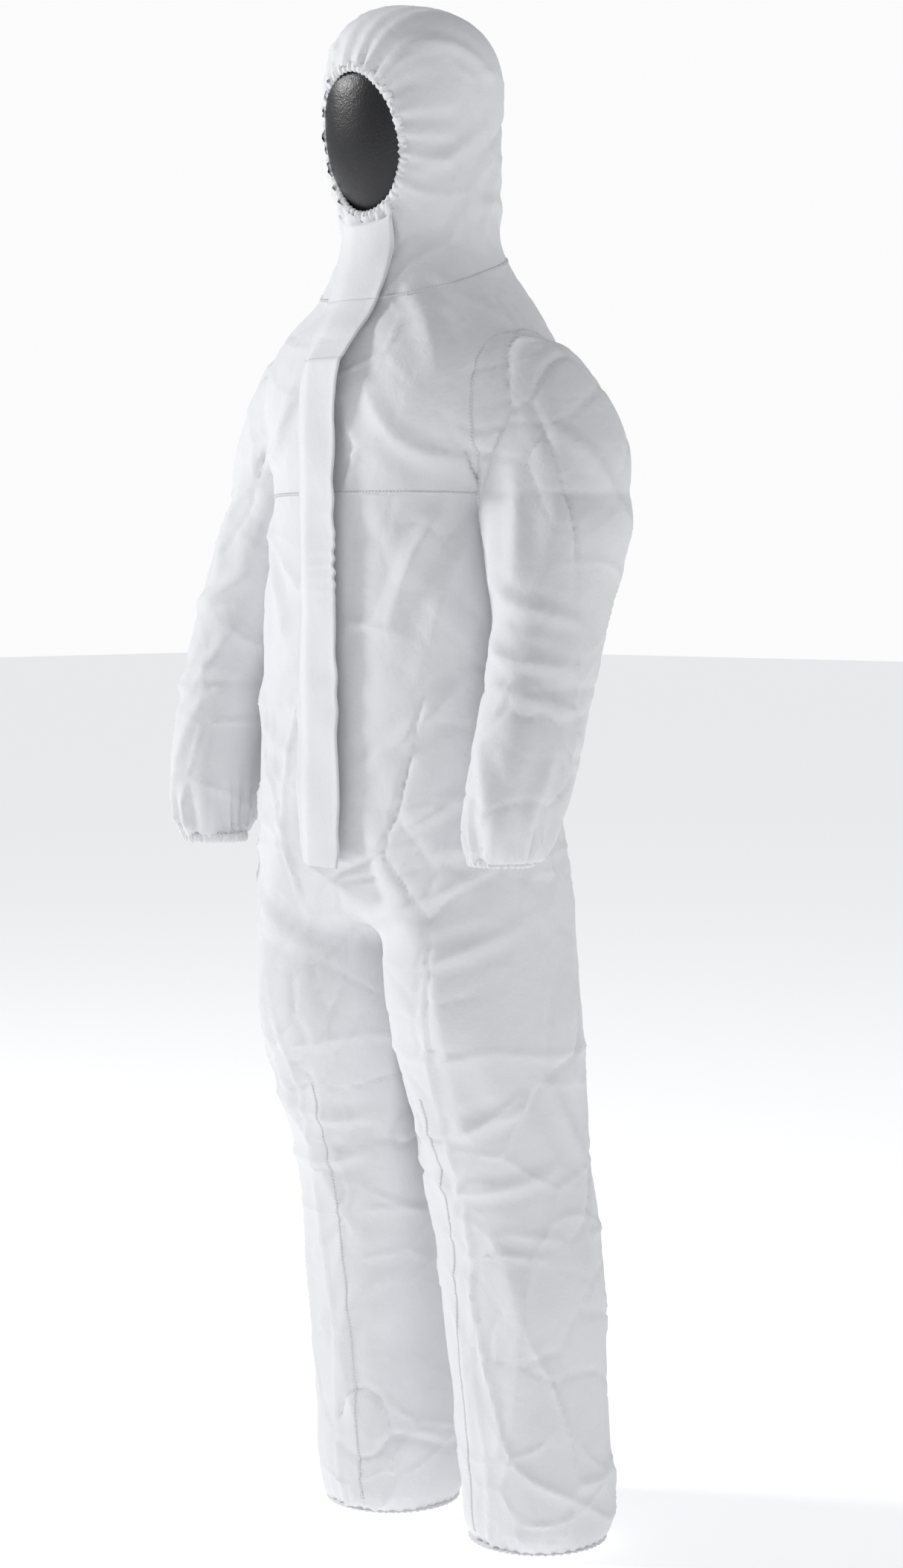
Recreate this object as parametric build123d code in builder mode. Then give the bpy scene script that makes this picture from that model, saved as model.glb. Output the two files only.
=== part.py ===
from build123d import *
from math import cos, pi, radians, sin, tan
import os

# Hooded disposable coverall for chemical splash and dust, shown on a faceless display head.
#
# Frame: millimetres, +Z up, the wearer faces -Y and the wearer's left is +X.
# The origin is on the floor, under the middle of the trunk.
# The cloth is modelled as thin curved shells, one solid per sewn panel, with the hollow left open for a wearer.

# ---- driving dimensions ----
CLOTH = 1.2             # thickness of every cloth panel
FRONT = -150.0          # y of the straight centre front, where the zip runs
CHEST_SEAM = 1235.0     # height of the seam across the chest and back
NECK_Y, NECK_Z = 15.0, 1512.0          # centre of the neck seam
NECK_TILT = 16.0        # the neck seam climbs towards the back, degrees
NECK_HALF = (80.0, 104.0)              # neck seam half width and half depth
ARMHOLE_X = 158.0       # plane of each armhole
HIP = (-60.0, 800.0)    # hip hinge y, z
KNEE = (70.0, 450.0)    # knee hinge y, z
ELBOW = (-55.0, 1100.0)                # elbow hinge y, z
HIP_RANGE = (-15.0, 40.0)              # back, forward
KNEE_FLEX = 70.0
ELBOW_FLEX = 75.0
NOD_RANGE = (-12.0, 16.0)              # back, forward
GAP = 2.0               # clear slot between two cloth tubes at a hinge
HEM_LIP = 2.0           # thickness of the turned-under trouser hem
ANKLE_BORE = 64.0       # inner radius of the ankle elastic
ANKLE_BAND = 8.0        # height of the ankle elastic
CUFF_BORE = 31.0        # inner radius of the wrist elastic
CUFF_BAND = 10.0        # height of the wrist elastic
ELASTIC = 2.0           # thickness of every elastic band

ZIP_BOTTOM, ZIP_TOP = 842.0, 1312.0
ZIP_SLOT = 5.5          # half width of the slot the zip fills
TAPE_WIDTH, TAPE_THICK = 14.0, 0.6
TAPE_BACK = -145.0      # y of the inner face of the zip tape
COIL_GAP = 1.0          # half the gap between the two coil rows
COIL_WIDTH, COIL_THICK = 2.2, 2.0
STOP_HEIGHT = 4.0       # metal stops at both ends of the coil
SLIDER_SIZE = (9.0, 12.0)              # width, height
SLIDER_PLATE = 1.0      # thickness of the slider's two plates
SLIDER_Z = 1298.0       # slider centre with the zip closed
PULLER_SIZE = (6.0, 20.0, 1.0)         # width, length, thickness
PIN_RADIUS = 0.9
FLAP_LEFT, FLAP_RIGHT = 14.0, -46.0    # free edge and sewn edge of the storm flap
FLAP_BOTTOM, FLAP_TOP = 838.0, 1390.0
FLAP_Y = -164.0         # front face of the flap
FLAP_THICK = 0.8
GLUE_WIDTH, GLUE_THICK = 12.0, 0.3     # adhesive strip behind the free edge
LINER_WIDTH, LINER_THICK = 14.0, 0.2   # peel-off paper over the adhesive

FACE_Z = 1638.0         # centre of the face opening
FACE_HALF = (62.0, 84.0)
FACE_RIM = 7.0          # width of the face elastic
HOOD_SEAM = 46.0        # x of the two long hood seams
HEAD_INSET = 7.0        # how far the display head sits inside the hood
THROAT = (52.0, 56.0)   # half width and half depth of the display head's neck

# Ring rows: height, centre x, centre y, half width, half depth.
TRUNK = [
    (790, 0, -16, 190, 134),
    (900, 0, -18, 180, 132),
    (1050, 0, -22, 172, 128),
    (1170, 0, -18, 163, 132),
    (CHEST_SEAM, 0, -12.5, 155, 137.5),
]
SHOULDERS = [
    (CHEST_SEAM, 0, -12.5, 155, 137.5),
    (1290, 0, -7, 166, 143),
    (1345, 0, -4, 180, 146),
    (1400, 0, 4, 172, 140),
    (1445, 0, 10, 128, 124),
]
LEG = [
    (812, 99, -16, 91, 130),
    (700, 102, -6, 96, 124),
    (600, 106, 6, 98, 112),
    (450, 118, 42, 88, 92),
    (300, 120, 58, 88, 89),
    (110, 120, 74, 88, 88),
    (40, 120, 79, 88, 88),
    (0, 120, 80, 76, 76),
]
HOOD = [
    (1572, 0, 2, 80, 100),
    (1640, 0, -14, 91, 107),
    (1705, 0, -14, 92, 107),
    (1755, 0, -12, 82, 94),
    (1785, 0, -10, 58, 66),
    (1799, 0, -8, 18, 20),
]
# Sleeve rows: centre x, y, z, direction of the sleeve there, half depth (front to back), half width.
SLEEVE = [
    ((160, 6, 1340), (1, 0, 0), 84, 78),
    ((203, 10, 1317), (0.86, -0.08, -0.5), 82, 71),
    ((228, 6, 1240), (0.12, -0.2, -0.96), 77, 58),
    ((231, -8, 1190), (0.06, -0.3, -0.95), 73, 56),
    ((235, -36, 1100), (0.04, -0.32, -0.95), 71, 54),
    ((238, -68, 1000), (0.02, -0.3, -0.95), 68, 52),
    ((239, -92, 915), (0.0, -0.25, -0.97), 65, 49),
    ((236, -105, 862), (0.0, -0.15, -0.99), 54, 45),
    ((232, -110, 826), (0.0, 0.0, -1.0), 35, 35),
]


def outline(plane, half_x, half_y, power=2.6):
    """Face bounded by a rounded box shape: power 2 is an ellipse, higher is squarer."""
    def reach(value):
        return abs(value) ** (2 / power) * (1 if value >= 0 else -1)

    steps = 24
    points = [
        (half_x * reach(cos(2 * pi * i / steps)), half_y * reach(sin(2 * pi * i / steps)))
        for i in range(steps)
    ]
    with BuildSketch(plane) as face:
        with BuildLine():
            Spline(*points, periodic=True)
        make_face()
    return face.sketch


def level_rings(rows, inset, power=2.6):
    """One outline per row of a stack of level rings, each drawn in by inset."""
    return [
        outline(Plane.XY.offset(z).move(Location((x, y, 0))), half_x - inset, half_y - inset, power)
        for z, x, y, half_x, half_y in rows
    ]


def neck_plane(lift=0.0):
    """Plane of the neck seam, moved up its own normal by lift."""
    return Plane(origin=(0, NECK_Y, NECK_Z)).rotated((NECK_TILT, 0, 0)).offset(lift)


def neck_ring(inset, lift=0.0):
    """Outline of the neck seam."""
    return outline(neck_plane(lift), NECK_HALF[0] - inset, NECK_HALF[1] - inset, 2.2)


def sleeve_rings(rows, inset):
    """One outline per sleeve row, square to the sleeve's own direction."""
    return [
        outline(Plane(origin=centre, x_dir=(0, 1, 0), z_dir=way), deep - inset, wide - inset, 2.2)
        for centre, way, deep, wide in rows
    ]


def hinge_cut(pivot, near_deg, far_deg, keep_above, tilt=0.0):
    """Block to take away at a hinge across X, so that two tubes can turn without meeting.

    near_deg is the travel that closes the side towards -Y, far_deg the one towards +Y.
    keep_above is true for the tube above the hinge; tilt leans the whole cut back.
    """
    side = 1 if keep_above else -1
    reach = 400
    near = side * (GAP / 2 + reach * tan(radians(near_deg / 2)))
    far = side * (GAP / 2 + reach * tan(radians(far_deg / 2)))
    end = -side * 2000
    with BuildPart() as block:
        with BuildSketch(Plane.YZ):
            with BuildLine():
                Polyline(
                    (-reach, near), (0, side * GAP / 2), (reach, far), (reach, end), (-reach, end),
                    close=True,
                )
            make_face()
        extrude(amount=500, both=True)
    return Pos(0, *pivot) * Rot(tilt, 0, 0) * block.part


def save(piece, name):
    """Labels one finished piece and writes it as its own STEP file."""
    piece.part.label = name
    export_step(piece.part, f"parts/{name}.step")


def mirrored(piece):
    """The same piece on the wearer's other side."""
    with BuildPart() as other:
        add(mirror(piece.part, about=Plane.YZ, mode=Mode.PRIVATE))
    return other


os.makedirs("parts", exist_ok=True)

# ---- lower trunk: four panels from the hips to the chest seam ----
with BuildPart() as trunk_shell:
    loft(level_rings(TRUNK, 0))
    loft(level_rings(TRUNK, CLOTH), mode=Mode.SUBTRACT)
    add(hinge_cut(HIP, HIP_RANGE[1], -HIP_RANGE[0], True), mode=Mode.SUBTRACT)
    with Locations((0, FRONT, (ZIP_BOTTOM + ZIP_TOP) / 2)):
        Box(2 * ZIP_SLOT, 60, ZIP_TOP - ZIP_BOTTOM + 8, mode=Mode.SUBTRACT)

SIDE_SEAM = Plane(origin=(0, -8, 0), z_dir=(0, 1, 0))

with BuildPart() as front_left_panel:
    add(trunk_shell.part)
    split(bisect_by=SIDE_SEAM, keep=Keep.BOTTOM)
    split(bisect_by=Plane.YZ, keep=Keep.TOP)
save(front_left_panel, "front_left_panel")
save(mirrored(front_left_panel), "front_right_panel")

with BuildPart() as back_left_panel:
    add(trunk_shell.part)
    split(bisect_by=SIDE_SEAM, keep=Keep.TOP)
    split(bisect_by=Plane.YZ, keep=Keep.TOP)
save(back_left_panel, "back_left_panel")
save(mirrored(back_left_panel), "back_right_panel")

# The back waist elastic lies just inside the back panels.
WAIST_Z, WAIST_BAND, WAIST_INSET = 1040.0, 20.0, 1.6
with BuildPart() as waist_elastic:
    loft(level_rings(TRUNK, WAIST_INSET))
    loft(level_rings(TRUNK, WAIST_INSET + ELASTIC), mode=Mode.SUBTRACT)
    split(bisect_by=Plane.XY.offset(WAIST_Z), keep=Keep.TOP)
    split(bisect_by=Plane.XY.offset(WAIST_Z + WAIST_BAND), keep=Keep.BOTTOM)
    split(bisect_by=Plane(origin=(0, 20, 0), z_dir=(0, 1, 0)), keep=Keep.TOP)
save(waist_elastic, "waist_elastic")

# ---- upper body: chest and back yokes, open at the armholes and the neck ----
NECK = (NECK_Y, NECK_Z)
with BuildPart() as yoke_shell:
    loft(level_rings(SHOULDERS, 0) + [neck_ring(0)])
    loft(level_rings(SHOULDERS, CLOTH) + [neck_ring(CLOTH)], mode=Mode.SUBTRACT)
    for edge in (-ARMHOLE_X - 100, ARMHOLE_X + 100):
        with Locations((edge, 0, 1340)):
            Box(200, 600, 600, mode=Mode.SUBTRACT)
    add(hinge_cut(NECK, NOD_RANGE[1], -NOD_RANGE[0], False, NECK_TILT), mode=Mode.SUBTRACT)
    with Locations((0, FRONT, (ZIP_BOTTOM + ZIP_TOP) / 2)):
        Box(2 * ZIP_SLOT, 60, ZIP_TOP - ZIP_BOTTOM + 8, mode=Mode.SUBTRACT)

with BuildPart() as chest_left_panel:
    add(yoke_shell.part)
    split(bisect_by=SIDE_SEAM, keep=Keep.BOTTOM)
    split(bisect_by=Plane.YZ, keep=Keep.TOP)
save(chest_left_panel, "chest_left_panel")
save(mirrored(chest_left_panel), "chest_right_panel")

with BuildPart() as back_yoke_left:
    add(yoke_shell.part)
    split(bisect_by=SIDE_SEAM, keep=Keep.TOP)
    split(bisect_by=Plane.YZ, keep=Keep.TOP)
save(back_yoke_left, "back_yoke_left")
save(mirrored(back_yoke_left), "back_yoke_right")

# ---- sleeves: upper and lower tube and a wrist elastic on each side ----
with BuildPart() as sleeve_shell:
    loft(sleeve_rings(SLEEVE, 0))
    loft(sleeve_rings(SLEEVE, CLOTH), mode=Mode.SUBTRACT)

with BuildPart() as left_sleeve_upper:
    add(sleeve_shell.part)
    add(hinge_cut(ELBOW, ELBOW_FLEX, 0, True), mode=Mode.SUBTRACT)
save(left_sleeve_upper, "left_sleeve_upper")
save(mirrored(left_sleeve_upper), "right_sleeve_upper")

with BuildPart() as left_sleeve_lower:
    add(sleeve_shell.part)
    add(hinge_cut(ELBOW, ELBOW_FLEX, 0, False), mode=Mode.SUBTRACT)
save(left_sleeve_lower, "left_sleeve_lower")
save(mirrored(left_sleeve_lower), "right_sleeve_lower")

CUFF_X, CUFF_Y, CUFF_Z = SLEEVE[-1][0]
with BuildPart() as left_cuff_elastic:
    with Locations((CUFF_X, CUFF_Y, CUFF_Z + CUFF_BAND / 2)):
        Cylinder(CUFF_BORE + ELASTIC, CUFF_BAND)
        Cylinder(CUFF_BORE, CUFF_BAND, mode=Mode.SUBTRACT)
save(left_cuff_elastic, "left_cuff_elastic")
save(mirrored(left_cuff_elastic), "right_cuff_elastic")

# ---- legs: upper and lower tube and an ankle elastic on each side ----
LEG_X, LEG_Y = LEG[-1][1:3]
with BuildPart() as leg_shell:
    loft(level_rings(LEG, 0, 2.2))
    loft(level_rings(LEG, CLOTH, 2.2), mode=Mode.SUBTRACT)

with BuildPart() as left_leg_upper:
    add(leg_shell.part)
    add(hinge_cut(HIP, HIP_RANGE[1], -HIP_RANGE[0], False), mode=Mode.SUBTRACT)
    add(hinge_cut(KNEE, 0, KNEE_FLEX, True), mode=Mode.SUBTRACT)
save(left_leg_upper, "left_leg_upper")
save(mirrored(left_leg_upper), "right_leg_upper")

with BuildPart() as left_leg_lower:
    add(leg_shell.part)
    add(hinge_cut(KNEE, 0, KNEE_FLEX, False), mode=Mode.SUBTRACT)
    with Locations((LEG_X, LEG_Y, HEM_LIP / 2)):
        Cylinder(LEG[-1][3] - CLOTH, HEM_LIP)
        Cylinder(ANKLE_BORE + ELASTIC + 0.2, HEM_LIP, mode=Mode.SUBTRACT)
save(left_leg_lower, "left_leg_lower")
save(mirrored(left_leg_lower), "right_leg_lower")

with BuildPart() as left_ankle_elastic:
    with Locations((LEG_X, LEG_Y, ANKLE_BAND / 2)):
        Cylinder(ANKLE_BORE + ELASTIC, ANKLE_BAND)
        Cylinder(ANKLE_BORE, ANKLE_BAND, mode=Mode.SUBTRACT)
save(left_ankle_elastic, "left_ankle_elastic")
save(mirrored(left_ankle_elastic), "right_ankle_elastic")


# ---- hood: three panels, a chin panel, a face elastic and the chin flap ----
def hood_solid(inset):
    """The hood's closed shape drawn in by inset on all sides and on top."""
    rows = [(z - inset * (z - 1560) / 200, x, y, wide, deep) for z, x, y, wide, deep in HOOD]
    with BuildPart() as block:
        loft([neck_ring(inset, -5 * inset)] + level_rings(rows, inset, 2.2))
    return block.part


def face_cut(half_x, half_z):
    """Block through the front of the hood with the outline of the face opening."""
    with BuildPart() as block:
        with BuildSketch(Plane(origin=(0, -60, FACE_Z), x_dir=(1, 0, 0), z_dir=(0, -1, 0))):
            Ellipse(half_x, half_z)
        extrude(amount=200)
    return block.part


with BuildPart() as hood_shell:
    add(hood_solid(0))
    add(hood_solid(CLOTH), mode=Mode.SUBTRACT)
    add(face_cut(*FACE_HALF), mode=Mode.SUBTRACT)
    add(hinge_cut(NECK, NOD_RANGE[1], -NOD_RANGE[0], True, NECK_TILT), mode=Mode.SUBTRACT)

with BuildPart() as hood_left_panel:
    add(hood_shell.part)
    split(bisect_by=Plane.YZ.offset(HOOD_SEAM), keep=Keep.TOP)
save(hood_left_panel, "hood_left_panel")
save(mirrored(hood_left_panel), "hood_right_panel")

with BuildPart() as hood_middle:
    add(hood_shell.part)
    with Locations((0, 0, FACE_Z)):
        Box(2 * HOOD_SEAM, 600, 600, mode=Mode.INTERSECT)

CHIN_BLOCK = Pos(0, -150, FACE_Z - 150) * Box(4 * HOOD_SEAM, 200, 300)
with BuildPart() as chin_panel:
    add(hood_middle.part)
    add(CHIN_BLOCK, mode=Mode.INTERSECT)
save(chin_panel, "chin_panel")

with BuildPart() as hood_centre_panel:
    add(hood_middle.part)
    add(CHIN_BLOCK, mode=Mode.SUBTRACT)
save(hood_centre_panel, "hood_centre_panel")

with BuildPart() as face_elastic:
    add(hood_solid(CLOTH + 0.5))
    add(hood_solid(CLOTH + 0.5 + ELASTIC), mode=Mode.SUBTRACT)
    add(face_cut(FACE_HALF[0] + FACE_RIM, FACE_HALF[1] + FACE_RIM), mode=Mode.INTERSECT)
    add(face_cut(*FACE_HALF), mode=Mode.SUBTRACT)
save(face_elastic, "face_elastic")

# The display head is smooth and faceless; only its front shows in the opening.
with BuildPart() as head_form:
    throat = outline(neck_plane(-12), THROAT[0], THROAT[1], 2.0)
    jaw = outline(Plane.XY.offset(1560), 62, 80, 2.0)
    skull = level_rings(HOOD[1:], HEAD_INSET, 2.2)[:-1]
    crown = outline(Plane.XY.offset(1790).move(Location((0, -8, 0))), 14, 16, 2.0)
    loft([throat, jaw] + skull + [crown])
save(head_form, "head_form")


# ---- zip: two tapes, two coil rows, stops, a slider and its puller ----
def zip_strip(inner_x, width, y_back, thick, bottom, top):
    """One straight strip of the zip on the wearer's left, from its inner edge outwards."""
    with BuildPart() as strip:
        with Locations((inner_x, y_back, bottom)):
            Box(width, thick, top - bottom, align=(Align.MIN, Align.MAX, Align.MIN))
    return strip


zip_tape_left = zip_strip(COIL_GAP + 0.2, TAPE_WIDTH, TAPE_BACK, TAPE_THICK, ZIP_BOTTOM, ZIP_TOP)
save(zip_tape_left, "zip_tape_left")
save(mirrored(zip_tape_left), "zip_tape_right")

COIL_BACK = TAPE_BACK - TAPE_THICK - 0.1
COIL_ENDS = (ZIP_BOTTOM + STOP_HEIGHT + 1, ZIP_TOP - STOP_HEIGHT - 1)
zip_coil_left = zip_strip(COIL_GAP, COIL_WIDTH, COIL_BACK, COIL_THICK, *COIL_ENDS)
save(zip_coil_left, "zip_coil_left")
save(mirrored(zip_coil_left), "zip_coil_right")

with BuildPart() as zip_stops:
    for foot in (ZIP_BOTTOM, ZIP_TOP - STOP_HEIGHT):
        with Locations((0, COIL_BACK, foot)):
            Box(2 * (COIL_GAP + COIL_WIDTH), COIL_THICK, STOP_HEIGHT,
                align=(Align.CENTER, Align.MAX, Align.MIN))
save(zip_stops, "zip_stops")

SLIDER_BACK = TAPE_BACK + 0.4
SLIDER_FRONT = COIL_BACK - COIL_THICK - 0.4
LUG_Y = SLIDER_FRONT - SLIDER_PLATE - 2.0
with BuildPart() as zip_slider:
    with Locations((0, SLIDER_BACK + SLIDER_PLATE, SLIDER_Z), (0, SLIDER_FRONT, SLIDER_Z)):
        Box(SLIDER_SIZE[0], SLIDER_PLATE, SLIDER_SIZE[1],
            align=(Align.CENTER, Align.MAX, Align.CENTER))
    with Locations((0, SLIDER_BACK, SLIDER_Z + SLIDER_SIZE[1] / 4)):
        Box(1.4, SLIDER_BACK - SLIDER_FRONT, SLIDER_SIZE[1] / 2,
            align=(Align.CENTER, Align.MAX, Align.CENTER))
    with Locations((-2.4, LUG_Y, SLIDER_Z), (2.4, LUG_Y, SLIDER_Z)):
        Box(1.2, 4.0, 3.6)
    with Locations((0, LUG_Y, SLIDER_Z)):
        Cylinder(PIN_RADIUS, 5.0, rotation=(0, 90, 0))
save(zip_slider, "zip_slider")

with BuildPart() as zip_puller:
    with BuildSketch(Plane(origin=(0, LUG_Y, SLIDER_Z), x_dir=(1, 0, 0), z_dir=(0, -1, 0))):
        with Locations((0, -PULLER_SIZE[1] / 2 - 2.4)):
            RectangleRounded(PULLER_SIZE[0], PULLER_SIZE[1], 1.5)
        with Locations((0, -PULLER_SIZE[1] + 2)):
            Circle(1.6, mode=Mode.SUBTRACT)
        Rectangle(3.0, 7.0)
    extrude(amount=PULLER_SIZE[2] / 2, both=True)
    with Locations((0, LUG_Y, SLIDER_Z)):
        Cylinder(PIN_RADIUS + 1.0, 3.0, rotation=(0, 90, 0))
        Cylinder(PIN_RADIUS + 0.2, 3.2, rotation=(0, 90, 0), mode=Mode.SUBTRACT)
save(zip_puller, "zip_puller")

# ---- storm flap over the zip, its adhesive, the peel-off paper, and the collar and chin flaps ----
with BuildPart() as storm_flap:
    with Locations(((FLAP_LEFT + FLAP_RIGHT) / 2, FLAP_Y, FLAP_BOTTOM)):
        Box(FLAP_LEFT - FLAP_RIGHT, FLAP_THICK, FLAP_TOP - FLAP_BOTTOM,
            align=(Align.CENTER, Align.MIN, Align.MIN))
save(storm_flap, "storm_flap")

GLUE_Y = FLAP_Y + FLAP_THICK + 0.05
with BuildPart() as flap_adhesive:
    with Locations((FLAP_LEFT - 3, GLUE_Y, FLAP_BOTTOM + 10)):
        Box(GLUE_WIDTH, GLUE_THICK, FLAP_TOP - FLAP_BOTTOM - 20,
            align=(Align.MAX, Align.MIN, Align.MIN))
save(flap_adhesive, "flap_adhesive")

with BuildPart() as flap_liner:
    with Locations((FLAP_LEFT - 2, GLUE_Y + GLUE_THICK + 0.05, FLAP_BOTTOM + 6)):
        Box(LINER_WIDTH, LINER_THICK, FLAP_TOP - FLAP_BOTTOM - 12,
            align=(Align.MAX, Align.MIN, Align.MIN))
save(flap_liner, "flap_liner")


def front_strip(points, upper):
    """A thin strip as wide as the storm flap that follows points (y, z) up the centre front."""
    front = [(y - FLAP_THICK, z) for y, z in reversed(points)]
    with BuildPart() as strip:
        with BuildSketch(Plane.YZ.offset(FLAP_RIGHT)):
            with BuildLine():
                Polyline(*points, *front, close=True)
            make_face()
        extrude(amount=FLAP_LEFT - FLAP_RIGHT)
        add(hinge_cut(NECK, NOD_RANGE[1], -NOD_RANGE[0], upper, NECK_TILT), mode=Mode.SUBTRACT)
    return strip


collar_flap = front_strip([(-162, 1394), (-152, 1420), (-134, 1450), (-108, 1484)], False)
save(collar_flap, "collar_flap")
chin_flap = front_strip([(-108, 1484), (-118, 1510), (-128, 1545)], True)
save(chin_flap, "chin_flap")
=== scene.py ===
"""Hooded non-woven coverall on a faceless display head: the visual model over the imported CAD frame."""
import math
import bmesh
import bpy
import numpy as np
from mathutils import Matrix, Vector
from mathutils.bvhtree import BVHTree
from mathutils.kdtree import KDTree


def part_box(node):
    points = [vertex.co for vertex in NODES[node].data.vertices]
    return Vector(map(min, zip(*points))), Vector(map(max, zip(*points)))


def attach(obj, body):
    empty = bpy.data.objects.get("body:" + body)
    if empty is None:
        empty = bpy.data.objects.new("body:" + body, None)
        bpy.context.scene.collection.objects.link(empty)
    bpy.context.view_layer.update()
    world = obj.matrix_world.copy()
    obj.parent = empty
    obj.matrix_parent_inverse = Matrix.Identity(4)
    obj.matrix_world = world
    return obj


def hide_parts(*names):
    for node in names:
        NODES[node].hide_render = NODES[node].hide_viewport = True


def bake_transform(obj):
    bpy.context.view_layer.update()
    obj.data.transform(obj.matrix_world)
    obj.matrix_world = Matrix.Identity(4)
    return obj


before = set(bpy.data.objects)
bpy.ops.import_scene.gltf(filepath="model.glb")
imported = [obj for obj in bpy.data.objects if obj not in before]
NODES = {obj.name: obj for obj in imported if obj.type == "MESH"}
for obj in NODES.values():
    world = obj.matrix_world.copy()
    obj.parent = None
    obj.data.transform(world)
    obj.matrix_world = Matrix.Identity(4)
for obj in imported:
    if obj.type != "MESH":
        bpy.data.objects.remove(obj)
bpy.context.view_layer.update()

# ---- sizes in metres ----
VOXEL = 0.0095          # grid of the cloth before it is refined
SLEEVE_SHIFT = 0.026    # sleeves are held this far out while the cloth settles
GROWTH = 0.034          # how much larger than the form the cloth is cut
SETTLE_FRAMES = 26
NECK = Vector((0.0, 0.015, 1.512))
NECK_UP = Vector((0.0, -math.sin(math.radians(16)), math.cos(math.radians(16))))
CHEST_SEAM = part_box("chest_left_panel")[0][2]
ARM_CUT_X = 0.162       # seam between the trunk and the sleeve
ARMPIT_Z = 1.215
SLEEVE_CUT_Z = 1.150
HIP_CUT_Z = 0.865
THIGH_CUT_Z = 0.545
CROTCH_Z = 0.735
CUFF = Vector(tuple((a + b) / 2 for a, b in zip(*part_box("left_cuff_elastic"))))
CUFF_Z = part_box("left_cuff_elastic")[0][2]
CUFF_R, ANKLE_R = 0.0355, 0.0735      # gathered rims
ANKLE = Vector(tuple((a + b) / 2 for a, b in zip(*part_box("left_ankle_elastic"))))
FACE_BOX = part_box("face_elastic")
FACE_Z = (FACE_BOX[0][2] + FACE_BOX[1][2]) / 2
FACE_HX = (FACE_BOX[1][0] - FACE_BOX[0][0]) / 2 - 0.007
FACE_HZ = (FACE_BOX[1][2] - FACE_BOX[0][2]) / 2 - 0.007
FLAP_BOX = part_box("storm_flap")
ZIP_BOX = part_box("zip_tape_left")
ZIP_SLOT = 0.0055


def smooth(t):
    t = np.clip(t, 0, 1)
    return t * t * (3 - 2 * t)


def node_points(*names):
    """Corner points of CAD nodes in the row frame."""
    rows = []
    for name in names:
        o = NODES[name]
        m = np.array(o.matrix_world)
        co = np.array([v.co for v in o.data.vertices], float)
        rows.append(co @ m[:3, :3].T + m[:3, 3])
    return np.vstack(rows)


def hull(bm, points):
    """Adds the convex hull of points to bm."""
    part = bmesh.new()
    for p in points:
        part.verts.new(p)
    done = bmesh.ops.convex_hull(part, input=part.verts)
    loose = [v for v in done["geom_interior"] if isinstance(v, bmesh.types.BMVert)]
    bmesh.ops.delete(part, geom=loose, context="VERTS")
    mesh = bpy.data.meshes.new("hull")
    part.to_mesh(mesh)
    part.free()
    bm.from_mesh(mesh)
    bpy.data.meshes.remove(mesh)


def evaluated(obj):
    """A copy of the mesh obj shows with its modifiers."""
    deps = bpy.context.evaluated_depsgraph_get()
    return bpy.data.meshes.new_from_object(obj.evaluated_get(deps))


def add_object(name, mesh):
    o = bpy.data.objects.new(name, mesh)
    bpy.context.scene.collection.objects.link(o)
    return o


def coords(mesh):
    out = np.empty(len(mesh.vertices) * 3)
    mesh.vertices.foreach_get("co", out)
    return out.reshape(-1, 3)


def normals(mesh):
    out = np.empty(len(mesh.vertices) * 3)
    mesh.vertex_normals.foreach_get("vector", out)
    return out.reshape(-1, 3)


def set_coords(mesh, co):
    mesh.vertices.foreach_set("co", co.astype(np.float32).ravel())
    mesh.update()


def shift_sleeves(co, amount):
    """Moves the hanging part of both sleeves outwards by amount."""
    side = np.sign(co[:, 0])
    trunk = 0.155 + np.clip(1.235 - co[:, 2], -0.05, 0.5) * 0.079
    is_sleeve = (np.abs(co[:, 0]) > trunk + 0.006) & (co[:, 2] > 0.80)
    fall = smooth((1.30 - co[:, 2]) / 0.08)
    out = co.copy()
    out[:, 0] += side * amount * fall * is_sleeve
    return out


# ---- the form: convex blocks around the CAD nodes, joined into one closed body ----
def limited(points, low, high):
    return points[(points[:, 2] >= low) & (points[:, 2] <= high)]


body = bmesh.new()
trunk = node_points("front_left_panel", "front_right_panel", "back_left_panel", "back_right_panel")
yoke = node_points("chest_left_panel", "chest_right_panel", "back_yoke_left", "back_yoke_right")
hull(body, trunk)
hull(body, yoke)
hood = node_points("hood_left_panel", "hood_right_panel", "hood_centre_panel", "chin_panel")
hull(body, hood)
hull(body, np.vstack([limited(hood, 1.45, 1.545), limited(yoke, 1.455, 1.6)]))
thighs = []
for side in ("left", "right"):
    upper = shift_sleeves(node_points(side + "_sleeve_upper"), SLEEVE_SHIFT)
    lower = shift_sleeves(node_points(side + "_sleeve_lower"), SLEEVE_SHIFT)
    hull(body, limited(upper, 1.225, 2.0))
    hull(body, np.vstack([limited(upper, 0, 1.29)]))
    hull(body, lower)
    hull(body, np.vstack([limited(upper, 0, 1.15), limited(lower, 1.03, 2)]))
    thigh = node_points(side + "_leg_upper")
    shin = node_points(side + "_leg_lower")
    hull(body, thigh)
    hull(body, shin)
    hull(body, np.vstack([limited(thigh, 0, 0.53), limited(shin, 0.36, 2)]))
    thighs.append(thigh)
crotch = np.vstack([limited(t, CROTCH_Z + 0.01, 0.80) for t in thighs])
hull(body, np.vstack([limited(trunk, 0.79, 0.87), crotch]))

form_mesh = bpy.data.meshes.new("form")
body.to_mesh(form_mesh)
body.free()
form = add_object("form", form_mesh)
remesh = form.modifiers.new("grid", "REMESH")
remesh.mode = "VOXEL"
remesh.voxel_size = VOXEL
soften = form.modifiers.new("soften", "SMOOTH")
soften.factor = 0.5
soften.iterations = 8
cloth_mesh = evaluated(form)
form.modifiers.clear()
print("cloth grid", len(cloth_mesh.vertices), "points")

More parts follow.
